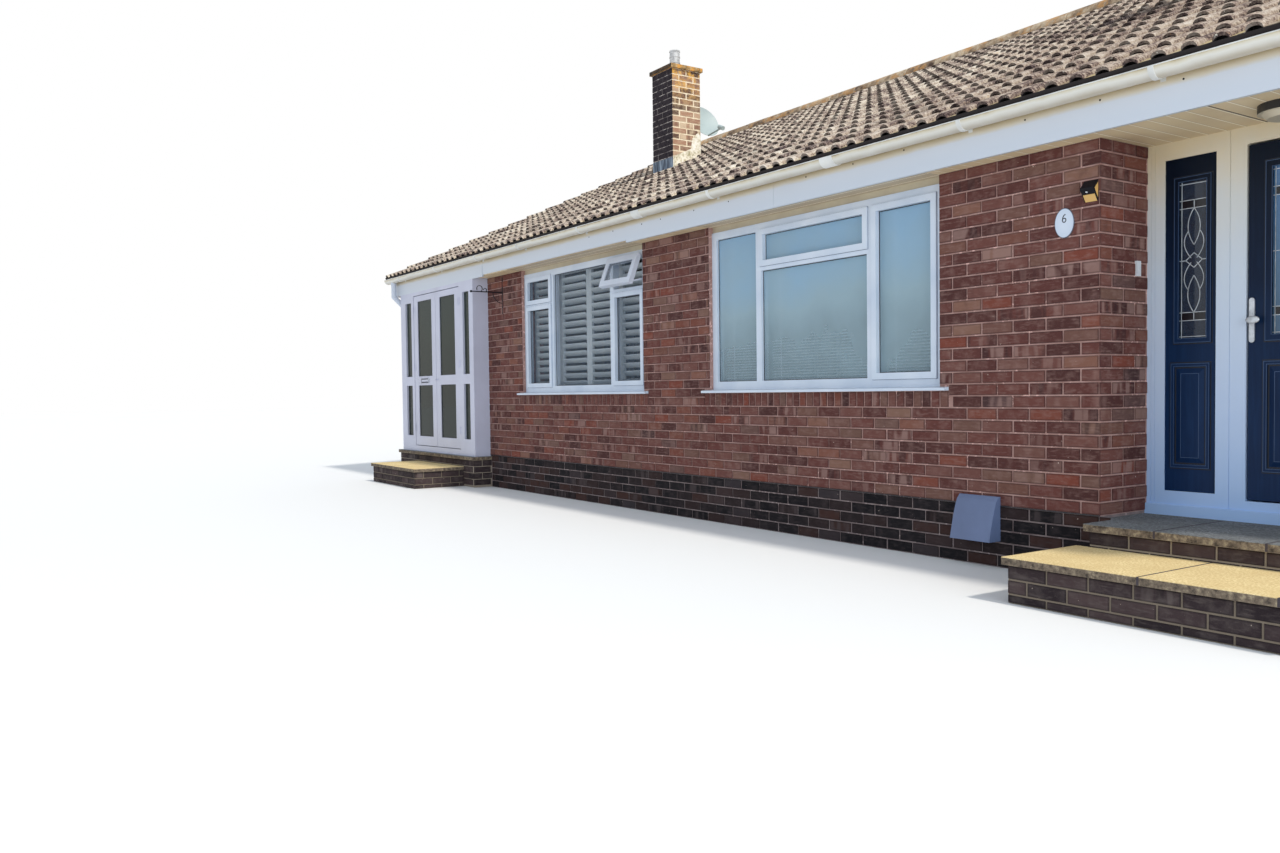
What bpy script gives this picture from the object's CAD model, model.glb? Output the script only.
"""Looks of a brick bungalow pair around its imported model, in metres: X along the front, Y into it."""
import math
import random
from functools import partialmethod

import bpy
from mathutils import Matrix, Vector


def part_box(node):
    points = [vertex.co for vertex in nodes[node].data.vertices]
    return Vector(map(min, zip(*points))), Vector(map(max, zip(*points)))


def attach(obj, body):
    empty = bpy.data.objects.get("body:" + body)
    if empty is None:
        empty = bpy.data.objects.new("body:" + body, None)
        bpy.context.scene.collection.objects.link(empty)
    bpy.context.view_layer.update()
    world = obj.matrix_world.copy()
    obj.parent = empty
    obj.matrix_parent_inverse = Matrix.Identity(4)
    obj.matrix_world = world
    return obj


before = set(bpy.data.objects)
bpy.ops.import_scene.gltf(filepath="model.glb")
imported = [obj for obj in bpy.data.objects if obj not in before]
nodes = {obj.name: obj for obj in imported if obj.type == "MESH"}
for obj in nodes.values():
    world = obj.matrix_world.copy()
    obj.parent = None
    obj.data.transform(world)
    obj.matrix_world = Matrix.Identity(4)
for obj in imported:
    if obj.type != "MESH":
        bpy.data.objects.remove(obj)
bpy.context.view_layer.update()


# Camera and light

CAMERA_PLACE = Vector((7.445, -5.301, 1.099))
CAMERA_YAW = math.radians(56.548)
CAMERA_TILT = math.radians(1.901)
CAMERA_ROLL = math.radians(0.737)
LENS_MM = 29.09
SENSOR_MM = 36
SUN_TOWARDS = Vector((0.66, 0.05, 0.75))
FILL_PLACE = (14.5, -3.2, 2.6)
FILL_TOWARDS = Vector((10.0, -3.4, 1.4))


def put(name, data):
    """A new object in the scene."""
    made = bpy.data.objects.new(name, data)
    bpy.context.collection.objects.link(made)
    return made


def aim_camera():
    """The photograph's viewpoint: a 29 mm lens near the right end, looking along the front."""
    level = Vector((math.cos(CAMERA_YAW), math.sin(CAMERA_YAW), 0))
    flat = Vector((-level.y, level.x, 0))
    ahead = math.cos(CAMERA_TILT) * flat - Vector((0, 0, math.sin(CAMERA_TILT)))
    down = ahead.cross(level)
    right = math.cos(CAMERA_ROLL) * level + math.sin(CAMERA_ROLL) * down
    below = math.cos(CAMERA_ROLL) * down - math.sin(CAMERA_ROLL) * level
    data = bpy.data.cameras.new("camera")
    data.lens = LENS_MM
    data.sensor_width = SENSOR_MM
    data.clip_end = 300
    camera = put("camera", data)
    turned = Matrix((right, -below, -ahead)).transposed().to_4x4()
    camera.matrix_world = Matrix.Translation(CAMERA_PLACE) @ turned
    bpy.context.scene.camera = camera


def lamp(name, kind, power, color, towards):
    """A light that shines from the direction given."""
    data = bpy.data.lights.new(name, kind)
    data.energy = power
    data.color = color
    made = put(name, data)
    made.rotation_euler = towards.to_track_quat("Z", "Y").to_euler()
    return made


def light_scene():
    """Soft sun from the photograph's side, and a wide cool fill from beyond the right end."""
    sun = lamp("sun", "SUN", 2.3, (1.0, 0.95, 0.86), SUN_TOWARDS)
    sun.data.angle = math.radians(4)
    fill = lamp("fill", "AREA", 560, (0.86, 0.93, 1.0), FILL_TOWARDS)
    fill.data.shape = "RECTANGLE"
    fill.data.size = 7.0
    fill.data.size_y = 3.0
    fill.location = FILL_PLACE


def light_sky():
    """A cool even sky, and plain white where the camera, a mirror or a pane looks past the part."""
    world = bpy.data.worlds.new("sky")
    bpy.context.scene.world = world
    world.use_nodes = True
    sky = Nodes(world.node_tree)
    seen = 0.0
    for kind in ("Is Camera Ray", "Is Glossy Ray", "Is Transmission Ray"):
        seen = sky.larger(seen, sky.node("LightPath", kind, {}))
    cool = sky.node("Background", 0, {"Color": (0.80, 0.89, 1.0, 1.0), "Strength": 0.78})
    white = sky.node("Background", 0, {"Color": (1.0, 1.0, 1.0, 1.0), "Strength": 1.0})
    shown = sky.node("MixShader", 0, {0: seen, 1: cool, 2: white})
    sky.feed(sky.tree.nodes["World Output"].inputs["Surface"], shown)


# Materials

def shade(*color):
    """A colour as a node takes it: a share as a grey, and three screen values, 0 to 255, as linear ones."""
    color = color if len(color) == 3 else color[0]
    if isinstance(color, float):
        return (color, color, color, 1.0)
    if isinstance(color, tuple) and len(color) == 3:
        parts = [value / 255 for value in color]
        return (*(((v + 0.055) / 1.055) ** 2.4 if v > 0.04045 else v / 12.92 for v in parts), 1.0)
    return color


def scaled(color, *shares):
    """A colour made darker or paler, by one share for all three channels or by one for each."""
    each = shares if len(shares) == 3 else 3 * shares
    return (*(min(1.0, part * share) for part, share in zip(shade(color), each)), 1.0)


class Nodes:
    """Adds nodes to a tree. Each method that makes a node returns the node's output."""

    def __init__(self, tree):
        self.tree = tree

    def feed(self, socket, value):
        if isinstance(value, bpy.types.NodeSocket):
            self.tree.links.new(value, socket)
        else:
            socket.default_value = value

    def node(self, kind, output, inputs, **settings):
        made = self.tree.nodes.new("ShaderNode" + kind)
        for key, value in settings.items():
            setattr(made, key, value)
        for key, value in inputs.items():
            self.feed(made.inputs[key], value)
        return made.outputs[output]

    def math(self, kind, first, second=0.0):
        return self.node("Math", 0, {0: first, 1: second}, operation=kind)

    times = partialmethod(math, "MULTIPLY")
    plus = partialmethod(math, "ADD")
    minus = partialmethod(math, "SUBTRACT")
    above = partialmethod(math, "GREATER_THAN")
    below = partialmethod(math, "LESS_THAN")
    larger = partialmethod(math, "MAXIMUM")


class Look(Nodes):
    """A procedural material."""

    def __init__(self, name, roughness, specular=0.5, **values):
        self.data = bpy.data.materials.new(name)
        self.data.use_nodes = True
        super().__init__(self.data.node_tree)
        self.shader = self.tree.nodes["Principled BSDF"]
        self.set(roughness=roughness, specular_ior_level=specular, **values)

    def set(self, **values):
        for key, value in values.items():
            self.feed(self.shader.inputs[key.replace("_", " ").title().replace("Ior", "IOR")], value)

    def place(self, scale=(1, 1, 1)):
        where = self.node("TexCoord", "Object", {})
        return self.node("Mapping", "Vector", {"Vector": where, "Scale": scale})

    def noise(self, scale, detail=4.0, rough=0.55, where=None, warp=0.0):
        inputs = {"Scale": scale, "Detail": detail, "Roughness": rough, "Distortion": warp}
        return self.node("TexNoise", "Fac", {"Vector": where or self.place(), **inputs})

    def tone(self, name="tone"):
        return self.node("Attribute", "Fac", {}, attribute_name=name)

    def axis(self, name, where=None):
        return self.node("SeparateXYZ", name, {"Vector": where or self.place()})

    def between(self, value, low, high):
        return self.times(self.above(value, low), self.below(value, high))

    def from_middle(self, value, middle=0.0):
        return self.math("ABSOLUTE", self.minus(value, middle) if middle else value)

    def swing(self, value, reach):
        """A noise turned into a change that goes both ways."""
        return self.times(self.minus(value, 0.5), reach)

    def climb(self, value, low, high, top=1.0):
        """From 0 to top as the value goes from low to high."""
        inputs = {"Value": value, "From Min": low, "From Max": high, "To Max": top}
        return self.node("MapRange", "Result", inputs)

    def ramp(self, value, stops, smooth=True):
        made = self.tree.nodes.new("ShaderNodeValToRGB")
        made.color_ramp.interpolation = "LINEAR" if smooth else "CONSTANT"
        points = made.color_ramp.elements
        while len(points) < len(stops):
            points.new(0.5)
        for point, (at, *color) in zip(points, stops):
            point.position = at
            point.color = shade(*color)
        self.feed(made.inputs["Fac"], value)
        return made.outputs["Color"]

    def mix(self, share, first, second, kind="MIX"):
        made = self.tree.nodes.new("ShaderNodeMix")
        made.data_type = "RGBA"
        made.blend_type = kind
        self.feed(made.inputs[0], share)
        self.feed(made.inputs[6], shade(first))
        self.feed(made.inputs[7], shade(second))
        return made.outputs[2]

    def stain(self, base, color, value, start, end, share, within=1.0):
        """A colour over the base: none where the value is at start, the given share of it from end on."""
        amount = self.ramp(value, sorted([(start, 0.0), (end, share)]))
        return self.mix(amount if within == 1.0 else self.times(within, amount), base, color)

    def finish(self, base, height, strength, distance):
        """Sets the base colour and the bump, and gives the material."""
        bump = self.node("Bump", "Normal", {"Height": height, "Strength": strength, "Distance": distance})
        self.set(base_color=base, normal=bump)
        return self.data


# Shared measures, read off the frame or taken from the CAD source

HALF, DEPTH, PLINTH_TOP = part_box("plinth")[1]
PIER_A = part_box("front_pier_middle")[1].x
PIER_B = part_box("front_pier_right")[0].x
RECESS_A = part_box("front_pier_right")[1].x
RECESS_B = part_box("entrance_frame")[1].x
SCREEN_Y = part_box("front_door")[0].y
SILL_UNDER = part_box("sill_walls")[1].z
SOFFIT_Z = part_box("soffits")[0].z
ROOF_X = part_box("roof_front")[1].x
STACK_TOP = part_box("chimney_stacks")[1].z
RIDGE_Y = DEPTH / 2
EAVE_OUT = 0.300
EAVE_Z = 2.692
PITCH = math.radians(24.3)
COURSES = 17
GAUGE = 0.343
TILE_HIGH = 0.024
TILE_LOW = 0.010
RAFTER = 0.100
STACK_X = (3.470, 3.910)
STACK_Y = (2.470, 2.910)
REAR_DOOR = (4.7, 5.63)
REAR_WINDOWS = [(0.9, 2.1), (2.9, 4.1)]
SIDE_WINDOWS = [(2.9, 4.1), (6.8, 8.0)]
SIDE_HEAD = 2.165
SLAB = 0.038
SLAB_LAP = 0.025
HAIR = 0.001


def slope_point(x, up, lift, rear=False):
    """A point on a roof slope: up the slope from the eaves and lifted off the tiles' underside."""
    y = up * math.cos(PITCH) - lift * math.sin(PITCH) - EAVE_OUT
    z = up * math.sin(PITCH) + lift * math.cos(PITCH) + EAVE_Z
    return (x, DEPTH - y if rear else y, z)


def tile_under(y):
    return EAVE_Z + (y + EAVE_OUT) * math.tan(PITCH)


def both_sides(spans):
    """Spans (u0, u1) on the right, and their mirror images on the left."""
    return spans + [(-high, -low) for low, high in spans]


def cut_spans(spans, holes):
    """The spans left after the holes (u0, u1) are taken out."""
    for a, b in holes:
        halves = [half for low, high in spans for half in ((low, min(high, a)), (max(low, b), high))]
        spans = [(low, high) for low, high in halves if high > low]
    return spans


class Shape:
    """Faces gathered for one mesh, each with tone, wear and material; each point has a rim value."""

    def __init__(self, seed=0):
        self.rng = random.Random(seed)
        self.points = []
        self.faces = []
        self.tones = []
        self.wears = []
        self.looks = []
        self.rims = []

    def solid(self, points, faces, tone=0.5, look=0, wear=0.0, rims=None):
        first = len(self.points)
        self.points += points
        self.rims += rims or [0.0] * len(points)
        self.faces += [[first + corner for corner in face] for face in faces]
        self.tones += [tone] * len(faces)
        self.wears += [wear] * len(faces)
        self.looks += [look] * len(faces)

    def box(self, low, high, look=0):
        (x0, y0, z0), (x1, y1, z1) = low, high
        points = [(x, y, z) for z in (z0, z1) for y in (y0, y1) for x in (x0, x1)]
        faces = [(0, 2, 3, 1), (4, 5, 7, 6), (0, 1, 5, 4), (2, 6, 7, 3), (0, 4, 6, 2), (1, 3, 7, 5)]
        self.solid(points, faces, look=look)

    def strip(self, first, second, tone=0.5, look=0, wear=0.0):
        """Quads between two rows of points."""
        count = len(first)
        self.solid(first + second, [(i, i + 1, count + i + 1, count + i) for i in range(count - 1)],
                   tone, look, wear)

    def build(self, name, slot, looks, smooth_angle=None, body="house"):
        mesh = bpy.data.meshes.new(name)
        mesh.from_pydata(self.points, [], self.faces)
        for label, values in (("tone", self.tones), ("wear", self.wears)):
            mesh.attributes.new(label, "FLOAT", "FACE").data.foreach_set("value", values)
        mesh.attributes.new("rim", "FLOAT", "POINT").data.foreach_set("value", self.rims)
        mesh.polygons.foreach_set("material_index", self.looks)
        for look in looks:
            mesh.materials.append(look)
        if smooth_angle is not None:
            mesh.polygons.foreach_set("use_smooth", [True] * len(mesh.polygons))
            mesh.set_sharp_from_angle(angle=math.radians(smooth_angle))
        mesh.update()
        piece = put(name, mesh)
        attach(piece, body)


# Bricks

MODULE = 0.225
LENGTH = 0.217
COURSE = 0.075
JOINT = 0.008
PROUD = 0.004
PROUD_WANDER = 0.001
END_WANDER = 0.002
CHAMFER = 0.0025
RIM = 0.012
SHORTEST = 0.03
THINNEST = 0.006
FIRST_COURSE = 5
EDGE_COURSE = 13
TOP_COURSE = 64
SILL_HORN = 0.075
VERGE_GAP = 0.014


class Wall:
    """A wall face through a point: u runs along it, in X or Y, and z up. A third value stands proud."""

    def __init__(self, x, y, out_x, out_y):
        self.origin = Vector((x, y, 0))
        self.out = Vector((out_x, out_y, 0))
        self.along = Vector((abs(out_y), abs(out_x), 0))
        self.flip = self.along.cross(Vector((0, 0, 1))).dot(self.out) < 0

    def at(self, u, z, proud):
        return tuple(self.origin + u * self.along + proud * self.out + Vector((0, 0, z)))


class Bricks(Shape):
    """Brick faces with worn edges, each a little out of line."""

    def brick(self, wall, ends, z0, tops, tone):
        """One brick face, from its two ends, its foot and the heights of its upper corners."""
        u0, u1 = ends
        top0, top1 = tops
        proud = PROUD + self.rng.uniform(-PROUD_WANDER, PROUD_WANDER)

        def ring(inset, out):
            inset = min(inset, 0.3 * (u1 - u0), 0.3 * (min(tops) - z0))
            corners = ((u0 + inset, z0 + inset), (u1 - inset, z0 + inset), (u1 - inset, top1 - inset),
                       (u0 + inset, top0 - inset))
            return [wall.at(u, z, out) for u, z in corners]

        points = ring(0, -HAIR) + ring(CHAMFER, proud) + ring(RIM, proud)
        faces = [(8, 9, 10, 11)]
        for first in (0, 4):
            for i, after in zip(range(4), (1, 2, 3, 0)):
                faces.append((first + i, first + after, first + 4 + after, first + 4 + i))
        if wall.flip:
            faces = [face[::-1] for face in faces]
        self.solid(points, faces, tone, 0, self.rng.random(), 8 * [1.0] + 4 * [0.0])

    def course(self, wall, number, spans, datum, turn, corners, lid=None):
        """One course of stretcher bond over the spans (u0, u1), cut off at the height lid(u).

        Its bond starts at the datum, half a brick over on every other course. Bricks wrap round corners."""
        z0 = number * COURSE + JOINT / 2
        z1 = z0 + COURSE - JOINT
        shift = MODULE / 2 * ((number + turn) % 2)

        def wrap(u, near):
            return PROUD if any(abs(u - corner) < near for corner in corners) else 0

        for low, high in spans:
            first = math.floor((low - datum + shift) / MODULE) - 1
            last = math.ceil((high - datum + shift) / MODULE) + 1
            for index in range(first, last):
                start = datum - shift + index * MODULE + self.rng.uniform(-END_WANDER, END_WANDER)
                u0 = max(start, low)
                u1 = min(start + LENGTH, high)
                if u1 - u0 < SHORTEST:
                    continue
                tone = self.rng.random()
                u0 -= wrap(u0, 2 * END_WANDER)
                u1 += wrap(u1, 3 * END_WANDER)
                tops = [min(z1, lid(u)) if lid else z1 for u in (u0, u1)]
                if max(tops) >= z0 + 2 * THINNEST:
                    self.brick(wall, (u0, u1), z0, [max(top, z0 + THINNEST) for top in tops], tone)


def under_soffit(u):
    """The height at which walls end below the soffit boards, the same all along."""
    return SOFFIT_Z - HAIR


def front_bricks(seed):
    """Piers, sill walls and the returns of both recesses."""
    shape = Bricks(seed)
    front = Wall(0, 0, 0, -1)
    for number in range(FIRST_COURSE, math.ceil(SOFFIT_Z / COURSE)):
        z = number * COURSE
        horn = SILL_HORN if z < SILL_UNDER else 0.0
        windows = both_sides([(PIER_A - horn, PIER_B + horn)]) if number >= EDGE_COURSE else []
        spans = cut_spans([(-RECESS_A, RECESS_A)], windows)
        for side in (1, -1):
            shape.course(front, number, [span for span in spans if (span[1] > 0) == (side > 0)],
                         side * RECESS_A, 0, (-RECESS_A, RECESS_A), under_soffit)
        for side in (1, -1):
            pier = sorted((side * RECESS_B, side * HALF))
            shape.course(front, number, [pier], side * RECESS_B, 0, (-HALF, HALF, RECESS_B, -RECESS_B),
                         under_soffit)
        for x, side in ((RECESS_A, 1), (-RECESS_A, -1), (RECESS_B, -1), (-RECESS_B, 1)):
            shape.course(Wall(x, 0, side, 0), number, [(0, SCREEN_Y)], 0.0, 1, (0.0,), under_soffit)
    low = PIER_A - SILL_HORN
    high = PIER_B + SILL_HORN
    foot = EDGE_COURSE * COURSE + JOINT / 2
    count = round((high - low) / COURSE)
    step = (high - low) / count
    for side in (-1, 1):
        for index in range(count):
            u0 = low + index * step + JOINT / 2
            ends = sorted((side * u0, side * (u0 + step - JOINT)))
            shape.brick(front, ends, foot, 2 * [SILL_UNDER - JOINT / 2], shape.rng.random())
    return shape


def plain_walls(seed, lower):
    """Bricks of the gable walls and the rear wall: the plinth's where lower is true, else those above it."""
    shape = Bricks(seed)
    rear = Wall(0, DEPTH, 0, 1)

    def under_roof(y):
        return tile_under(min(y, DEPTH - y)) - RAFTER / math.cos(PITCH) - VERGE_GAP

    for number in range(0, FIRST_COURSE) if lower else range(FIRST_COURSE, TOP_COURSE + 1):
        z = number * COURSE
        above_sill = z > SILL_UNDER - COURSE / 2
        windows = SIDE_WINDOWS if above_sill and z < SIDE_HEAD - 0.01 else []
        for side in (-1, 1):
            shape.course(Wall(side * HALF, 0, side, 0), number, cut_spans([(0, DEPTH)], windows), 0.0, 1,
                         (0.0, DEPTH), under_roof)
        if z < SOFFIT_Z - 0.05:
            holes = ([REAR_DOOR] if z >= PLINTH_TOP else []) + (REAR_WINDOWS if above_sill else [])
            shape.course(rear, number, cut_spans([(-HALF, HALF)], both_sides(holes)), HALF, 0, (-HALF, HALF),
                         under_soffit)
    return shape


def front_plinth(shape):
    """Dark bricks below the damp course, left out behind the landings."""
    low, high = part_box("landings")
    landings = [(low.x, -RECESS_A + 0.29), (RECESS_A + 0.065, high.x)]
    for number in range(0, FIRST_COURSE):
        shape.course(Wall(0, 0, 0, -1), number, cut_spans([(-HALF, HALF)], landings), RECESS_A, 0,
                     (-HALF, HALF))


def step_bricks(seed):
    """Bricks under the slabs of the landings and the lower steps, laid down from each slab."""
    shape = Bricks(seed)
    landing_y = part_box("landings")[0].y + SLAB_LAP
    step_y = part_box("lower_steps")[0].y + SLAB_LAP
    for node, front, back, spans in (
            ("landings", landing_y, 0.0, [(4.150, 5.470), (-6.175, -3.795)]),
            ("lower_steps", step_y, landing_y, [(4.095, 5.525), (-5.525, -4.095)])):
        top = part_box(node)[1].z - SLAB - 0.006
        for x0, x1 in spans:
            walls = [(Wall(x0, front, 0, -1), x1 - x0, 0), (Wall(x0, front, -1, 0), back - front, 1),
                     (Wall(x1, front, 1, 0), back - front, 1)]
            for wall, length, turn in walls:
                for row in range(math.ceil((top - 0.02) / COURSE)):
                    z1 = top - row * COURSE
                    z0 = max(z1 - COURSE + JOINT, 0.003)
                    start = -MODULE / 2 * ((row + turn) % 2)
                    while start < length:
                        ends = (max(start, 0.0), min(start + LENGTH, length))
                        if ends[1] - ends[0] > SHORTEST:
                            shape.brick(wall, ends, z0, (z1, z1), shape.rng.random())
                        start += MODULE
    return shape


def chimney_bricks(seed):
    """Both stacks above the roof."""
    shape = Bricks(seed)
    (low, high), width = STACK_Y, STACK_X[1] - STACK_X[0]
    for side in (-1, 1):
        x0, x1 = sorted((side * STACK_X[0], side * STACK_X[1]))
        for wall, turn, near in ((Wall(x0, low, 0, -1), 0, low), (Wall(x0, high, 0, 1), 0, high),
                                 (Wall(x0, low, -1, 0), 1, low), (Wall(x1, low, 1, 0), 1, low)):
            first = math.ceil((tile_under(near) + TILE_HIGH) / COURSE) - 1
            for number in range(first, round(STACK_TOP / COURSE)):
                shape.course(wall, number, [(0, width)], 0.0, turn, (0.0, width))
    return shape


def mortar_daubs(seed):
    """Rough mortar smeared up the sides of each stack from the roof, high at the rear."""
    shape = Shape(seed)
    count = 13
    start = STACK_Y[0] + 0.02
    for side in (-1, 1):
        for face, way in ((STACK_X[0], -side), (STACK_X[1], side)):
            rows = [[], [], []]
            for index in range(count + 1):
                y = start + index / count * (STACK_Y[1] - start)
                foot = tile_under(y) + 0.02
                top = foot + (0.30 if index / count > 0.62 else 0.12) + shape.rng.uniform(-0.025, 0.025)
                for row, thick, z in zip(rows, (0.012, 0.008, 0.0), (foot, top - 0.012, top)):
                    row.append((side * face + way * thick, y, z))
            shape.strip(rows[0], rows[1])
            shape.strip(rows[1], rows[2])
            edge = [row[-1] for row in rows[:2]]
            shape.strip([(side * face, y, z) for _, y, z in edge], edge)
    return shape


# Roof

PERIODS = 86
ROLL_SHARE = 0.54
ROLL_HIGH = 0.034
ROLL_LOW = 0.025
ROLL_STEPS = 7
TILE_EDGE = 0.013
MOUTH_DEPTH = 0.05
RIDGE_COVERS = 28
RIDGE_STEPS = 14

# Parts of a tile that its material tells apart by their wear value
TROUGH = 1.0
NOSE = 0.5
FLANK = 0.25


def roll_profile():
    """One period across a tile: (share of the period, height from 0 to 1)."""
    points = [(0.0, 0.0)]
    for step in range(ROLL_STEPS + 1):
        angle = math.pi * step / ROLL_STEPS
        points.append((0.5 - ROLL_SHARE / 2 * math.cos(angle), math.sin(angle) ** 0.8))
    points.append((1.0, 0.0))
    return points


def roof_tiles(seed, rear):
    """Overlapping courses of tiles with two hollow rolls each, every one a little out of line."""
    shape = Shape(seed)
    period = 2 * ROOF_X / PERIODS
    profile = roll_profile()
    last = len(profile) - 2
    top_up = (RIDGE_Y + EAVE_OUT + TILE_LOW * math.sin(PITCH)) / math.cos(PITCH) - 0.10
    for course in range(COURSES):
        for tile in range(PERIODS // 2):
            tone = shape.rng.random()
            up0 = max(course * GAUGE + shape.rng.uniform(-0.004, 0.004), 0.0)
            lift = shape.rng.uniform(0.0005, 0.003)
            up1 = min(course * GAUGE + GAUGE + 0.004, top_up)
            for roll in range(2):
                x0 = -ROOF_X + (2 * tile + roll) * period

                def row(up, base, high):
                    return [slope_point(x0 + share * period, up, base + lift + high * height, rear)
                            for share, height in profile]

                upper = row(up1, TILE_LOW, ROLL_LOW)
                lower = row(up0, TILE_HIGH, ROLL_HIGH)
                inner = row(up0, TILE_HIGH - TILE_EDGE, ROLL_HIGH - 0.004)
                deep = row(up0 + MOUTH_DEPTH, TILE_HIGH - TILE_EDGE - 0.002, ROLL_HIGH - 0.006)
                bed = row(up0 + MOUTH_DEPTH, TILE_LOW - 0.004, 0.0)
                for index in range(last + 1):
                    wear = TROUGH if index in (0, last) else FLANK if index <= 2 else 0.0
                    shape.strip(lower[index:index + 2], upper[index:index + 2], tone, 0, wear)
                shape.strip(inner, lower, tone, 0, NOSE)
                shape.strip(deep, inner, tone, 1)
                shape.strip(bed, deep, tone, 1)
    return shape


def ridge(seed):
    """Half-round ridge tiles, butted with mortar between and below them."""
    shape = Shape(seed)
    low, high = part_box("ridge_tiles")
    radius = (high.y - low.y) / 2
    step = 2 * ROOF_X / RIDGE_COVERS
    turns = [math.pi * (0.03 + 0.94 * k / RIDGE_STEPS) for k in range(RIDGE_STEPS + 1)]
    for index in range(RIDGE_COVERS):
        x0 = -ROOF_X + index * step + 0.005
        x1 = x0 + step - 0.010
        center_z = high.z - radius + shape.rng.uniform(0.001, 0.005)
        tone = shape.rng.random()
        rows = []
        for x, grow in ((x0, 0.0), (x0 + 0.006, 0.004), (x1 - 0.006, 0.004), (x1, 0.0)):
            size = radius + grow
            rows.append([(x, RIDGE_Y - size * math.cos(turn), center_z + size * math.sin(turn))
                         for turn in turns])
        for first, second in zip(rows, rows[1:]):
            shape.strip(first, second, tone)
    return shape


# Surfaces

def brick_look(name, stops, pale, dark, over=None):
    """Wire-cut brick: a colour for each, kiln bands on a few, pale clouds within a dark rim, and specks."""
    look = Look(name, 0.9, 0.15)
    tone = look.tone()
    along = look.plus(look.axis("X"), look.axis("Y"))
    height = look.axis("Z")

    def streaks(lengthwise, upright, scale, detail):
        parts = {"X": look.times(along, lengthwise), "Y": look.times(tone, 31.0),
                 "Z": look.times(height, upright)}
        return look.noise(scale, detail, 0.5, look.node("CombineXYZ", "Vector", parts))

    base = look.ramp(tone, stops)
    bands = streaks(1.0, 0.15, 15.0, 1.0)
    strong = look.ramp(look.tone("wear"), [(0.80, 0.0), (0.90, 1.0)])
    base = look.stain(base, pale, bands, 0.50, 0.58, 0.65, strong)
    base = look.stain(base, dark, bands, 0.46, 0.38, 0.6, strong)
    base = look.stain(base, pale, streaks(0.22, 1.0, 75.0, 4.0), 0.52, 0.72, 0.35)
    cloud = look.noise(11.0, 6.0, 0.62)
    base = look.stain(base, pale, cloud, 0.48, 0.74, 0.42)
    base = look.stain(base, dark, cloud, 0.42, 0.26, 0.35)
    ragged = look.plus(look.tone("rim"), look.swing(cloud, 1.2))
    base = look.stain(base, dark, ragged, 0.25, 0.95, 0.5)
    base = look.stain(base, pale, look.noise(240.0, 3.0), 0.60, 0.76, 0.35)
    base = look.stain(base, (216, 196, 182), look.noise(48.0, 2.0), 0.755, 0.775, 0.8)
    if over:
        base = over(look, base)
    return look.finish(base, look.mix(0.5, look.noise(300.0, 4.0), cloud), 0.5, 0.004)


def soot(look, base):
    """Cream smears and lichen over the chimney bricks, and their fronts nearly black."""
    smear = look.times(look.plus(look.tone("rim"), look.times(look.noise(16.0, 5.0, 0.6), 1.6)), 0.5)
    base = look.stain(base, (246, 228, 198), smear, 0.72, 0.78, 0.7)
    high = look.climb(look.axis("Z"), 4.75, 5.2, 0.85)
    base = look.stain(base, (226, 170, 76), look.noise(11.0, 6.0, 0.7), 0.45, 0.58, 1.0, high)
    black = look.ramp(look.noise(40.0, 4.0), [
        (0.3, 34, 31, 38), (0.7, 66, 58, 62), (0.8, 150, 140, 136)])
    return look.mix(look.below(look.axis("Y"), STACK_Y[0] + 0.8 * HAIR), base, black)


def mortar_look(name, color, stain):
    """Mortar on outer faces and plaster on the inner ones, told apart by place."""
    look = Look(name, 0.95, 0.2)
    x = look.from_middle(look.axis("X"))
    y = look.axis("Y")
    inside = look.times(look.below(x, HALF - 0.27), look.between(y, 0.27, DEPTH - 0.27))
    recess = look.times(look.below(y, SCREEN_Y + 0.08), look.between(x, RECESS_A - 0.01, RECESS_B + 0.01))
    base = look.ramp(look.noise(7.0, 6.0), [(0.32, stain), (0.62, color)])
    patches = look.ramp(look.noise(1.3, 3.0), [(0.35, 0.86), (0.7, 1.1)])
    blobs = look.times(look.noise(34.0, 5.0, 0.6), patches)
    base = look.stain(base, scaled(color, 1.7), blobs, 0.57, 0.63, 0.9)
    base = look.mix(look.times(inside, look.minus(1.0, recess)), base, (150, 146, 138))
    return look.finish(base, look.noise(240.0, 4.0), 0.5, 0.003)


def faces_front(look):
    return look.below(look.axis("Y", look.node("TexCoord", "Normal", {})), -0.5)


def stack_mortar_look(name):
    """Mortar of the stacks: grey on the sooty fronts, cream on the sunny sides."""
    look = Look(name, 0.95, 0.2)
    cloud = look.noise(18.0, 5.0)
    sunny = look.ramp(cloud, [(0.3, 236, 212, 178), (0.6, 255, 244, 222)])
    sooty = look.ramp(cloud, [(0.35, 60, 54, 58), (0.5, 140, 130, 128), (0.65, 214, 204, 196)])
    return look.finish(look.mix(faces_front(look), sunny, sooty), look.noise(200.0, 4.0), 0.5, 0.004)


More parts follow.
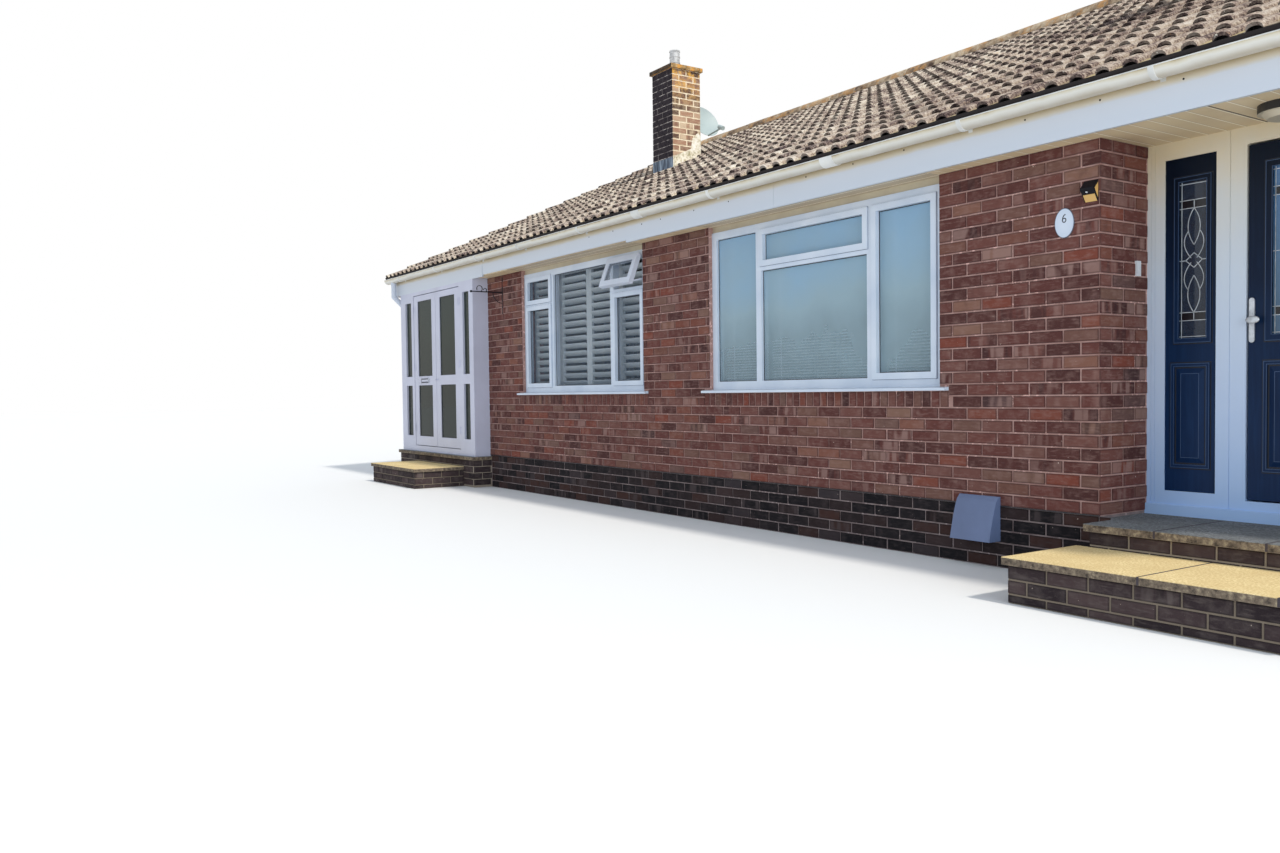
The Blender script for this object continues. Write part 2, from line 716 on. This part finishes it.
def tile_look(name):
    """Weathered concrete tiles: dark where worn, crusted pale, with lichen in the troughs and dark noses."""
    look = Look(name, 0.95, 0.15)
    mixed = look.times(look.plus(look.noise(9.0, 8.0, 0.68), look.noise(75.0, 5.0, 0.65)), 0.5)
    mixed = look.plus(mixed, look.swing(look.tone(), 0.08))
    base = look.ramp(mixed, [(0.37, 56, 45, 48), (0.44, 110, 94, 90), (0.49, 172, 155, 142),
                             (0.55, 206, 193, 176), (0.66, 234, 228, 216)])
    wear = look.tone("wear")
    trough = look.above(wear, TROUGH - 0.1)
    base = look.stain(base, (224, 208, 156), look.noise(7.0, 5.0, 0.65), 0.36, 0.56, 0.9, trough)
    base = look.mix(look.times(look.between(wear, NOSE - 0.1, NOSE + 0.1), 0.66), base, (58, 48, 48))
    base = look.mix(look.times(look.between(wear, FLANK - 0.1, FLANK + 0.1), 0.5), base, (64, 52, 54))
    streak = look.ramp(look.noise(1.6, 4.0), [(0.56, 0.0), (0.68, 0.55)])
    base = look.mix(streak, base, (84, 72, 72), "MULTIPLY")
    base = look.mix(look.climb(look.axis("X"), 0.5, 3.5), base, (224, 219, 218), "MULTIPLY")
    base = look.stain(base, (198, 150, 92), look.noise(15.0, 6.0, 0.7), 0.66, 0.71, 0.6)
    specks = look.noise(30.0, 4.0, 0.7)
    base = look.stain(base, (44, 37, 40), specks, 0.38, 0.30, 0.9)
    base = look.stain(base, (232, 226, 212), specks, 0.64, 0.70, 0.7)
    return look.finish(base, mixed, 0.9, 0.008)


def ridge_look(name):
    """Ridge covers: brown concrete, each a little different, with orange lichen."""
    look = Look(name, 0.95, 0.15)
    mixed = look.plus(look.times(look.noise(8.0, 7.0, 0.65), 0.85), look.times(look.tone(), 0.15))
    base = look.ramp(mixed, [(0.36, 86, 70, 62), (0.50, 160, 138, 114), (0.64, 206, 188, 162)])
    base = look.stain(base, (196, 146, 92), look.noise(5.0, 7.0, 0.72), 0.50, 0.58, 0.7)
    return look.finish(base, mixed, 0.9, 0.008)


def by_height(name, stops, low, high, wander, roughness):
    """A surface whose colour changes with height from low to high, its bands wandering a little."""
    look = Look(name, roughness)
    shift = look.plus(look.swing(look.noise(5.0, 5.0), wander), look.swing(look.noise(1.1, 2.0), wander))
    base = look.ramp(look.climb(look.plus(look.axis("Z"), shift), low, high), stops)
    return look.finish(base, look.noise(70.0, 3.0), 0.06, 0.002)


def soffit_look(name):
    """Cream boards, along X before the windows and along Y elsewhere, with a bead at each joint."""
    look = Look(name, 0.45)
    x = look.from_middle(look.axis("X"))
    windows = look.between(x, PIER_A, PIER_B)
    across = look.math("FRACT", look.times(x, 10.0))
    along = look.math("FRACT", look.times(look.plus(look.axis("Y"), 10.0), 10.0))
    part = look.plus(look.times(windows, along), look.times(look.minus(1.0, windows), across))
    base = look.ramp(look.noise(2.2, 6.0), [(0.3, 210, 186, 148), (0.65, 226, 206, 168)])
    base = look.mix(windows, base, (216, 215, 222), "MULTIPLY")
    base = look.mix(look.ramp(part, [(0.0, 1.0), (0.075, 1.0), (0.08, 0.0)], False), base, (255, 246, 224))
    base = look.mix(look.ramp(part, [(0.0, 0.0), (0.08, 0.35), (0.13, 0.0)], False), base, (128, 98, 66))
    base = look.mix(look.below(look.from_middle(x, SOFFIT_JOINT), 0.005), base, (70, 50, 34))
    bead = look.ramp(part, [(0.0, 1.0), (0.055, 1.0), (0.06, 0.0), (0.085, 0.6)])
    return look.finish(base, bead, 0.6, 0.004)


def plain(name, color, roughness=0.5, mottle=0.9, **values):
    """A painted or moulded surface: slight mottling of colour and sheen."""
    look = Look(name, roughness, **values)
    base = look.ramp(look.noise(3.0, 6.0), [(0.3, scaled(color, mottle)), (0.62, color)])
    return look.finish(base, look.noise(60.0, 3.0), 0.08, 0.002)


def frame_look(name):
    """White window frames, with the cream board that closes the gap above their heads."""
    look = Look(name, 0.3)
    white = look.ramp(look.noise(2.5, 5.0), [(0.3, 190, 203, 220), (0.65, 210, 219, 231)])
    cream = look.ramp(look.noise(4.0, 5.0), [(0.3, 178, 166, 144), (0.65, 196, 186, 162)])
    base = look.mix(look.above(look.axis("Z"), LIGHT_TOP + BAR + 0.0005), white, cream)
    return look.finish(base, look.noise(50.0, 3.0), 0.05, 0.002)


def door_look(name):
    """Navy moulded skin with a faint upright wood grain, darker towards the top."""
    look = Look(name, 0.35, 0.14)
    grain = look.noise(60.0, 5.0, 0.6, look.place((1.0, 1.0, 0.06)), 0.4)
    base = look.ramp(look.noise(2.0, 4.0), [(0.3, 12, 36, 70), (0.7, 18, 47, 86)])
    base = look.stain(base, (34, 68, 110), grain, 0.45, 0.7, 0.22)
    base = look.mix(look.climb(look.axis("Z"), 0.9, 2.2), base, (136, 128, 120), "MULTIPLY")
    return look.finish(base, grain, 0.25, 0.0015)


def slab_look(name, node, body, color, rough, joints):
    """A step: paving slabs with dark joints on top, worn brown edges, and mortar below the slabs."""
    look = Look(name, 0.95, 0.2)
    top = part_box(node)[1].z
    x = look.from_middle(look.axis("X"))
    z = look.axis("Z")
    pits = look.noise(85.0, 4.0, 0.65)
    cloud = look.noise(5.0, 6.0, 0.6)
    base = look.stain(rough, color, pits, 0.40, 0.62, 1.0)
    base = look.stain(base, rough, cloud, 0.62, 0.40, 0.45)
    worn = look.ramp(look.noise(30.0, 5.0, 0.7), [
        (0.35, 70, 62, 56), (0.55, 128, 114, 98), (0.7, 176, 162, 134)])
    base = look.mix(look.below(z, top - 0.003), base, worn)
    gap = 0.0
    for joint in joints:
        gap = look.larger(gap, look.below(look.from_middle(x, joint), 0.006))
    base = look.mix(gap, base, (74, 68, 72))
    base = look.mix(look.below(z, top - SLAB - 0.0005), base, body)
    return look.finish(base, look.mix(gap, look.mix(0.5, pits, cloud), (0.0, 0.0, 0.0, 1.0)), 0.8, 0.006)


def lead_look(name):
    """Blue-grey lead with runs down it, and the cream mortar fillets beside the stacks."""
    look = Look(name, 0.7)
    x = look.from_middle(look.axis("X"))
    runs = look.noise(30.0, 3.0, 0.5, look.place((1.0, 1.0, 0.12)))
    lead = look.ramp(runs, [(0.32, 52, 62, 76), (0.5, 98, 112, 130), (0.68, 168, 184, 198)])
    fillet = look.ramp(look.noise(14.0, 6.0, 0.7), [
        (0.36, 160, 150, 112), (0.5, 234, 225, 204), (0.66, 252, 248, 240)])
    side = look.larger(look.above(x, STACK_X[1] + HAIR), look.below(x, STACK_X[0] - HAIR))
    side = look.times(side, look.above(look.axis("Y"), STACK_Y[0]))
    return look.finish(look.mix(side, lead, fillet), runs, 0.5, 0.004)


def cap_look(name):
    """Chimney caps of brown mortar with orange lichen, grimy in front."""
    look = Look(name, 0.95)
    cloud = look.noise(14.0, 6.0, 0.7)
    base = look.ramp(cloud, [(0.32, 74, 62, 44), (0.46, 150, 122, 82), (0.62, 204, 168, 118)])
    base = look.stain(base, (222, 158, 72), look.noise(22.0, 5.0, 0.7), 0.50, 0.58, 0.9)
    grime = look.ramp(cloud, [(0.40, 44, 36, 30), (0.60, 96, 74, 50), (0.72, 190, 140, 78)])
    return look.finish(look.mix(faces_front(look), base, grime), cloud, 0.8, 0.006)


def metal_look(name, color, roughness, metallic):
    """Metal with darker stains."""
    look = Look(name, roughness, metallic=metallic)
    stain = look.noise(20.0, 6.0, 0.65)
    return look.finish(look.ramp(stain, [(0.34, scaled(color, 0.6)), (0.6, color)]), stain, 0.15, 0.001)


def wood_look(name):
    """Pale timber with its grain along X."""
    look = Look(name, 0.8)
    grain = look.noise(30.0, 6.0, 0.6, look.place((0.08, 1.0, 1.0)), 0.6)
    base = look.ramp(grain, [(0.35, 150, 116, 78), (0.65, 196, 162, 116)])
    return look.finish(base, grain, 0.3, 0.002)


def glass_look(name, tint, haze, left=None, **values):
    """Window glass: haze gives the share of what it mirrors, paler and bluer towards the top.

    left gives an x and the haze and tint of the panes left of it, where they differ."""
    look = Look(name, 0.03, alpha=haze, ior=1.52, **values)
    level = look.plus(look.climb(look.axis("Z"), 1.1, 2.4), look.swing(look.noise(1.4, 4.0), 0.9))
    base = look.ramp(level, [(0.1, scaled(tint, 0.66)), (0.55, tint), (0.95, scaled(tint, 0.9, 1.05, 1.25))])
    if left:
        x, left_haze, left_tint = left
        side = look.below(look.axis("X"), x)
        base = look.mix(side, base, left_tint)
        look.set(alpha=look.plus(haze, look.times(side, left_haze - haze)))
    look.set(base_color=base)
    return look.data


def plate_look(name):
    """Glazed oval with a grey line near its edge."""
    look = Look(name, 0.2)
    reach = 0.0
    for axis, middle, half in (("X", PLATE_X, 0.061), ("Z", PLATE_Z, 0.084)):
        share = look.math("DIVIDE", look.minus(look.axis(axis), middle), half)
        reach = look.plus(reach, look.times(share, share))
    base = look.ramp(reach, [
        (0.0, 206, 216, 230), (0.90, 196, 208, 224), (0.94, 96, 104, 120)])
    return look.finish(base, look.noise(60.0, 3.0), 0.04, 0.001)


def lamp_look(name):
    """Black body of the ceiling light over its beige diffuser."""
    look = Look(name, 0.4)
    base = look.mix(look.below(look.axis("Z"), SOFFIT_Z - 0.0415), (24, 24, 26), (190, 180, 158))
    return look.finish(base, look.noise(60.0, 3.0), 0.06, 0.002)


def paint(material, *names):
    """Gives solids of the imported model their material."""
    for name in names:
        data = nodes[name].data
        data.materials.clear()
        data.materials.append(material)
    return material


# Small pieces

BAR = 0.062
SASH = 0.033
SASH_LAP = 0.012
SEAL = 0.005
GAP = 0.003
POSTS = (PIER_A + BAR / 2, 1.1, 2.3, PIER_B - BAR / 2)
SMALL_POST = 0.6
SMALL_WIDTH = 1.2
LIGHT_FOOT = 1.177
LIGHT_TOP = 2.358
SIDE_LIGHT_TOP = 2.103
TRANSOM = (2.045, 2.090)
PANE_OUT = 0.0575
PANE_IN = 0.0605
SASH_OUT = 0.0342
SASH_IN = 0.0352
PANEL_Z = (0.632, 1.223)
LEAF_PANES = ((0.560, 1.225), (1.343, 2.325))
PLATE_LOW, PLATE_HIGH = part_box("number_plate")
PLATE_X = (PLATE_LOW.x + PLATE_HIGH.x) / 2
PLATE_Z = (PLATE_LOW.z + PLATE_HIGH.z) / 2
SOFFIT_JOINT = 4.716
FASCIA_OUT = 0.2015
NAILS = [(-1.127, 2.590), (-0.694, 2.588), (-0.207, 2.583), (0.086, 2.584), (0.567, 2.585), (1.024, 2.585),
         (1.912, 2.617), (2.376, 2.621), (2.826, 2.624), (3.724, 2.613), (4.185, 2.614), (4.632, 2.610)]


def circle(u, v, wide, high, count):
    """Points of a closed round or oval line, with the first one again at its end."""
    turns = [2 * math.pi * step / count for step in range(count)]
    points = [(u + wide * math.cos(turn), v + high * math.sin(turn)) for turn in turns]
    return points + points[:1]


def arc(start, bulge, end, count=14):
    """Points of a smooth bow from start to end that passes through bulge."""
    control = [2 * bulge[k] - (start[k] + end[k]) / 2 for k in (0, 1)]
    shares = [index / count for index in range(count + 1)]
    return [tuple((1 - t) ** 2 * start[k] + 2 * t * (1 - t) * control[k] + t * t * end[k] for k in (0, 1))
            for t in shares]


def stroke(shape, points, width, y0, y1):
    """A flat bar along points (x, z), its front face at y0 and its back at y1."""
    closed = points[0] == points[-1]
    around = [points[-2 if closed else 0], *points, points[1 if closed else -1]]
    left, right = [], []
    for before, (x, z), after in zip(around, points, around[2:]):
        dx, dz = after[0] - before[0], after[1] - before[1]
        share = width / 2 / math.hypot(dx, dz)
        left.append((x - dz * share, z + dx * share))
        right.append((x + dz * share, z - dx * share))
    rows = [[(x, y, z) for x, z in side] for side, y in ((right, y1), (right, y0), (left, y0), (left, y1))]
    for first, second in zip(rows, rows[1:]):
        shape.strip(first, second)


def border(shape, rect, width, near, far, look=0, sideways=False):
    """Four bars just inside a rectangle (u0, u1, z0, z1), u along X, or along Y where sideways is true."""
    u0, u1, z0, z1 = rect
    inner = (z0 + width, z1 - width)
    for a, b, low, high in ((u0, u1, z0, inner[0]), (u0, u1, inner[1], z1),
                            (u0, u0 + width, *inner), (u1 - width, u1, *inner)):
        if sideways:
            shape.box((near, a, low), (far, b, high), look)
        else:
            shape.box((a, near, low), (b, far, high), look)


def grown(rect, out):
    """A rectangle (u0, u1, z0, z1) made larger all round, or smaller where out is below zero."""
    u0, u1, z0, z1 = rect
    return (u0 - out, u1 + out, z0 - out, z1 + out)


def small_lights(start, top):
    """The fixed light and the sash's pane of a small window, from its lower edge along the wall."""
    post = start + SMALL_POST
    return [(start + BAR, post - BAR / 2, LIGHT_FOOT, top),
            grown((post + BAR / 2, start + SMALL_WIDTH - BAR, LIGHT_FOOT, top), -SASH)]


def gaskets():
    """Black seals round the panes and the shadow gaps round the sashes, front and rear."""
    shape = Shape()
    first, middle, last = [(a + BAR / 2, b - BAR / 2) for a, b in zip(POSTS, POSTS[1:])]
    whole, lower, upper = (LIGHT_FOOT, LIGHT_TOP), (LIGHT_FOOT, TRANSOM[0]), (TRANSOM[1], LIGHT_TOP)
    fixed = [(1, first, whole), (1, middle, lower), (-1, middle, whole)]
    sashes = [(1, middle, upper), (1, last, whole), (-1, first, lower), (-1, last, lower), (-1, last, upper)]
    for side, span, heights in fixed + sashes:
        light = (*sorted(side * x for x in span), *heights)
        sash = (side, span, heights) in sashes
        border(shape, grown(light, -SASH) if sash else light, SEAL, PANE_OUT, PANE_IN)
        if sash:
            border(shape, grown(light, SASH_LAP + GAP), GAP, SASH_OUT, SASH_IN, 1)
    for start, _ in REAR_WINDOWS:
        for x0, x1, z0, z1 in small_lights(start, LIGHT_TOP):
            for a, b in both_sides([(x0, x1)]):
                border(shape, (a, b, z0, z1), SEAL, DEPTH - PANE_IN, DEPTH - PANE_OUT)
    return shape


def side_gaskets():
    """Black seals round the panes in both gable walls."""
    shape = Shape()
    for near, far in both_sides([(HALF - PANE_IN, HALF - PANE_OUT)]):
        for start, _ in SIDE_WINDOWS:
            for light in small_lights(start, SIDE_LIGHT_TOP):
                border(shape, light, SEAL, near, far, 0, True)
    return shape


def leading(glass, wide):
    """Lead strips on a door light: bands with dark blocks, petals and a diamond, mirrored top to bottom."""
    shape = Shape()
    low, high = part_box(glass)
    cx = (low.x + high.x) / 2
    cz = 1.796
    half = (high.x - low.x) / 2
    inset = half - 0.012
    y0, y1 = low.y - 0.0025, low.y + 0.0005

    def bar(points, width=0.0035):
        stroke(shape, points, width, y0, y1)

    for x in (cx - inset, cx + inset):
        bar([(x, low.z + 0.004), (x, high.z - 0.004)], 0.003)
    for flip in (-1, 1):
        def at(x, z):
            return (cx + wide * x, cz + flip * z)
        for z in (0.290, 0.335, 0.425):
            bar([(cx - half, cz + flip * z), (cx + half, cz + flip * z)])
        bar([at(0, 0.290), at(0, 0.335)])
        for side in (-1, 1):
            x0, x1 = sorted((cx + side * 0.006, cx + side * (inset - 0.003)))
            z0, z1 = sorted((cz + flip * 0.294, cz + flip * 0.331))
            shape.box((x0, y0 + 0.001, z0), (x1, y1, z1), 1)
            bar(arc(at(0, 0.290), at(side * 0.034, 0.190), at(0, 0.085)))
            bar(arc(at(side * 0.031, 0.165), at(side * 0.054, 0.092), at(side * 0.016, 0.012), 12))
            bar([at(0, 0.041), at(side * 0.046, 0)])
    for side in (-1, 1):
        bar([(cx + side * wide * 0.046, cz), (cx + side * half, cz)])
    return shape


def mouldings(glass, margin, panel_x):
    """Shadow lines in the grooves of a door skin and pale lines along its raised edges."""
    shape = Shape()
    low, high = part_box(glass)
    light = grown((low.x, high.x, low.z, high.z), margin)
    panel = (*panel_x, *PANEL_Z)

    def line(rect, inset, thick, raised):
        skin = SCREEN_Y + (0.0005 if raised else 0.0085)
        border(shape, grown(rect, -inset), thick, skin - (0.0013 if raised else 0.0015), skin, int(raised))

    for rect, wide in ((light, margin + 0.006), (panel, 0.022)):
        line(rect, -0.006, 0.006, False)
        line(rect, 0.002, 0.003, True)
        line(rect, wide - 0.005, 0.003, True)
    line(panel, 0.022, 0.008, False)
    line(panel, 0.058, 0.003, True)
    return shape


def porch_trim(glass, letters):
    """Dark seals round the two panes of a porch leaf, and a letter plate where letters is true."""
    shape = Shape()
    low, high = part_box(glass)
    for heights in LEAF_PANES:
        border(shape, (low.x, high.x, *heights), 0.008, low.y - 0.003, low.y + 0.001)
    if letters:
        middle = (low.x + high.x) / 2
        shape.box((middle - 0.130, low.y - 0.020, 1.258), (middle + 0.130, low.y - 0.0115, 1.312), 1)
        shape.box((middle - 0.112, low.y - 0.023, 1.270), (middle + 0.112, low.y - 0.0195, 1.300), 2)
    return shape


def number_six():
    """The figure on the oval plate."""
    shape = Shape()
    x, z = PLATE_X, PLATE_Z + 0.026
    for points in (circle(x, z - 0.010, 0.011, 0.0115, 20),
                   arc((x - 0.0110, z - 0.010), (x - 0.0060, z + 0.011), (x + 0.0085, z + 0.023))):
        stroke(shape, points, 0.006, -0.0084, -0.0075)
    return shape


def lamp_panels():
    """Amber diffusers in the lower face and the cheek of the wall light, and its sensor."""
    shape = Shape()
    low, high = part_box("wall_light")
    out = Vector((0, -0.042, -0.028)).normalized() * 0.0015
    x0, x1 = low.x + 0.006, high.x - 0.006
    cheek = high.x + 0.0015
    for panel in ([Vector(corner) + out for corner in (
            (x0, -0.0275, 2.1633), (x1, -0.0275, 2.1633), (x1, -0.003, 2.1265), (x0, -0.003, 2.1265))],
            [(cheek, -0.040, 2.193), (cheek, -0.026, 2.168), (cheek, -0.008, 2.142), (cheek, -0.008, 2.228)]):
        shape.solid([tuple(corner) for corner in panel], [(0, 1, 2, 3)])
    shape.box((4.000, -0.0465, 2.172), (4.006, -0.030, 2.178), 1)
    return shape


def nails():
    """Round nail heads on the fascia, whose middle board stands further back."""
    shape = Shape()
    for x, z in NAILS:
        y = -FASCIA_OUT + (0.005 if -3.54 < x < -0.47 else 0.0)
        rim = circle(x, z, 0.0055, 0.0055, 8)
        front, back = [[(u, depth, v) for u, v in rim] for depth in (y, y + 0.003)]
        shape.solid(front[:-1], [tuple(range(8))])
        shape.strip(front, back)
    return shape


def gutter_rims():
    """Rolled front edge of both gutters."""
    shape = Shape()
    low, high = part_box("gutters")
    for y in (low.y + 0.001, high.y - 0.001):
        rows = [[(x, u, v) for u, v in circle(y, high.z + 0.0005, 0.0036, 0.0036, 8)]
                for x in (low.x + 0.001, high.x - 0.001)]
        shape.strip(*rows)
        for row in rows:
            shape.solid(row[:-1], [tuple(range(8))])
    return shape


def damp_course():
    """Edge of the damp-proof sheet in the joint on top of the plinth."""
    shape = Shape()
    z0, z1 = PLINTH_TOP - 0.0015, PLINTH_TOP + 0.0035
    for doorway, near, far in (
            ((RECESS_A, RECESS_B), -0.0065, 0.001), (REAR_DOOR, DEPTH - 0.001, DEPTH + 0.0065)):
        for x0, x1 in cut_spans([(-HALF, HALF)], both_sides([doorway])):
            shape.box((x0, near, z0), (x1, far, z1))
    for near, far in ((-HALF - 0.0075, -HALF), (HALF - 0.001, HALF + 0.0065)):
        shape.box((near, 0.0, z0), (far, DEPTH, z1))
    return shape


bpy.context.scene.view_settings.view_transform = "Standard"
aim_camera()
light_scene()
light_sky()

# Materials of the solids, and of pieces

brick = brick_look("brick", [(0.0, 74, 46, 44), (0.2, 92, 55, 51), (0.45, 104, 63, 57), (0.65, 112, 75, 68),
    (0.78, 108, 80, 70), (0.90, 120, 64, 52), (0.95, 130, 98, 84), (1.0, 84, 62, 62)], (150, 120, 112),
    (54, 36, 38))
sooty_brick = brick_look("sooty_brick", [(0.0, 84, 66, 56), (0.3, 134, 100, 84), (0.7, 172, 132, 110),
    (1.0, 198, 168, 142)], (226, 206, 176), (90, 70, 60), soot)
dark_brick = brick_look("dark_brick", [(0.0, 20, 19, 23), (0.4, 31, 28, 31), (0.7, 48, 37, 37),
    (0.88, 66, 44, 39), (1.0, 54, 49, 52)], (78, 68, 68), (17, 15, 18))
riser_brick = brick_look("riser_brick", [(0.0, 40, 33, 37), (0.5, 58, 48, 50),
    (1.0, 76, 62, 62)], (108, 98, 94), (30, 26, 29))
paint(mortar_look("mortar", (176, 142, 134), (140, 106, 98)), "front_pier_left", "front_pier_middle",
      "front_pier_right", "end_piers", "sill_walls", "gable_wall_left", "gable_wall_right", "rear_wall")
paint(mortar_look("dark_mortar", (142, 128, 126), (98, 84, 84)), "plinth")
paint(stack_mortar_look("stack_mortar"), "chimney_stacks")
lead = paint(lead_look("lead"), "chimney_flashings")
paint(cap_look("cap"), "chimney_caps")
paint(metal_look("flue", (206, 208, 210), 0.4, 0.5), "flue_terminals")
paint(plain("dish", (176, 192, 194), 0.5), "satellite_dish")

roof = tile_look("roof")
ridge_tile = ridge_look("ridge_tile")
hollow = plain("hollow", (30, 26, 27), 1.0, 0.7)
paint(plain("under_tile", (40, 34, 34), 0.95, 0.7), "roof_front", "roof_rear")
paint(plain("ridge_mortar", (176, 160, 138), 0.95, 0.6), "ridge_tiles")
paint(wood_look("timber"), "rafters_front", "rafters_rear")
paint(plain("grey", (150, 148, 144), 0.8), "floor_slab", "eaves_beams")
paint(slab_look("landing_stone", "landings", (150, 138, 124), (146, 150, 152), (96, 98, 100),
                (4.52, 5.06, 6.0)), "landings")
paint(slab_look("step_stone", "lower_steps", (128, 116, 102), (248, 228, 176), (212, 184, 130),
                (4.80, 5.40)), "lower_steps")

paint(by_height("fascia", [(0.0, 198, 205, 215), (0.55, 204, 209, 217), (0.68, 206, 197, 178),
    (0.80, 194, 178, 148), (1.0, 160, 140, 110)], 2.50, 2.66, 0.022, 0.35), "fascias")
paint(by_height("gutter", [(0.0, 190, 182, 166), (0.28, 208, 205, 196), (0.52, 218, 216, 208),
    (0.74, 212, 204, 184), (0.90, 194, 180, 150), (1.0, 140, 122, 96)], 2.626, 2.684, 0.034, 0.35), "gutters")
paint(by_height("entrance_white", [(0.0, 172, 204, 246), (0.30, 192, 212, 242), (0.66, 206, 218, 232),
    (0.84, 214, 217, 216), (1.0, 224, 209, 176)], 0.36, 2.47, 0.25, 0.3), "entrance_frame")
paint(soffit_look("cream"), "soffits")
bracket_white = paint(plain("bracket_white", (228, 228, 224), 0.4, 0.7), "gutter_brackets")
porch_white = paint(plain("porch_white", (196, 198, 216), 0.35),
                    "porch_frame", "porch_door_left", "porch_door_right", "door_hinges")
paint(frame_look("frame_white"),
      "window_frame_left", "window_frame_right", "small_window_frames", "window_sills")
paint(plain("white", (204, 211, 224), 0.35),
      "verge_boards", "downpipes", "open_vent", "rear_doors", "inner_screen")
paint(plain("louvre_white", (206, 214, 218), 0.4), "shutters")
paint(plain("slat_white", (250, 252, 254), 0.45), "blinds")
paint(plate_look("plate_white"), "number_plate")
paint(plain("bell_white", (214, 218, 224), 0.3), "doorbell")

paint(door_look("navy"), "side_panel", "front_door")
handle = paint(metal_look("handle", (206, 212, 220), 0.3, 0.35), "front_door_handle")
paint(plain("hood_blue", (101, 117, 153), 0.45, 0.8), "vent_cover")
black = paint(plain("black", (20, 19, 26), 0.45, specular=0.15), "basket_bracket", "wall_light")
paint(lamp_look("ceiling_lamp"), "ceiling_light")
paint(glass_look("glass", (180, 210, 222), 0.44, (0.0, 0.16, (70, 96, 120))), "window_glass")
paint(glass_look("porch_glass", (42, 52, 42), 0.85, specular=0.12),
      "porch_side_glass", "porch_glass_left", "porch_glass_right")
paint(glass_look("door_glass", (92, 128, 160), 0.75, (4.55, 0.7, (46, 58, 76))),
      "side_panel_glass", "front_door_glass")
paint(glass_look("dim_glass", (62, 78, 90), 0.9), "small_window_glass")

groove = plain("groove", (8, 17, 32), 0.5)
glint = plain("glint", (50, 78, 116), 0.4)
rubber = plain("rubber", (24, 30, 38), 0.6)
shadow_line = plain("shadow_line", (104, 118, 140), 0.6)
lead_strip = metal_look("lead_strip", (214, 220, 224), 0.35, 0.3)
block_glass = plain("block_glass", (14, 16, 24), 0.15)
amber = plain("amber", (214, 172, 100), 0.3)
sensor = plain("sensor", (224, 226, 228), 0.3)
ink = plain("ink", (40, 44, 56), 0.4)

# Pieces

front_bricks(1).build("front_bricks", "brickwork", [brick])
plain_walls(2, False).build("side_and_rear_bricks", "brickwork", [brick])
plinth_bricks = plain_walls(3, True)
plinth_bricks.rng.seed(4)
front_plinth(plinth_bricks)
plinth_bricks.build("plinth_bricks", "plinth_brick", [dark_brick])
chimney_bricks(5).build("chimney_bricks", "brickwork", [sooty_brick])
mortar_daubs(10).build("mortar_daubs", "concrete", [lead])
step_bricks(9).build("step_bricks", "plinth_brick", [riser_brick])
roof_tiles(6, False).build("front_tiles", "roof_tile", [roof, hollow], 50)
roof_tiles(7, True).build("rear_tiles", "roof_tile", [roof, hollow], 50)
ridge(8).build("ridge_covers", "roof_tile", [ridge_tile], 40)
gaskets().build("window_seals", "black_plastic", [rubber, shadow_line])
side_gaskets().build("side_window_seals", "black_plastic", [rubber])
leading("side_panel_glass", 1.0).build("panel_leading", "lead", [lead_strip, block_glass])
leading("front_door_glass", 2.3).build("door_leading", "lead", [lead_strip, block_glass], None, "front_door")
mouldings("side_panel_glass", 0.024, (4.200, 4.420)).build("panel_mouldings", "navy_paint", [groove, glint])
mouldings("front_door_glass", 0.032, (4.698, 5.382)).build(
    "door_mouldings", "navy_paint", [groove, glint], None, "front_door")
porch_trim("porch_glass_left", True).build(
    "porch_left_trim", "black_plastic", [rubber, handle, porch_white], None, "porch_door_left")
porch_trim("porch_glass_right", False).build(
    "porch_right_trim", "black_plastic", [rubber], None, "porch_door_right")
number_six().build("plate_figure", "plate_white", [ink])
lamp_panels().build("lamp_panels", "glass", [amber, sensor])
nails().build("fascia_nails", "black_metal", [black])
gutter_rims().build("gutter_rims", "white_rainwater", [bracket_white], 60)
damp_course().build("damp_course", "lead", [rubber])

bpy.ops.mesh.primitive_plane_add(size=160, location=(0, 0, -0.002))
floor = bpy.context.object
floor.name = "floor"
floor.data.materials.append(Look("floor", 0.9, base_color=shade((236, 236, 236))).data)
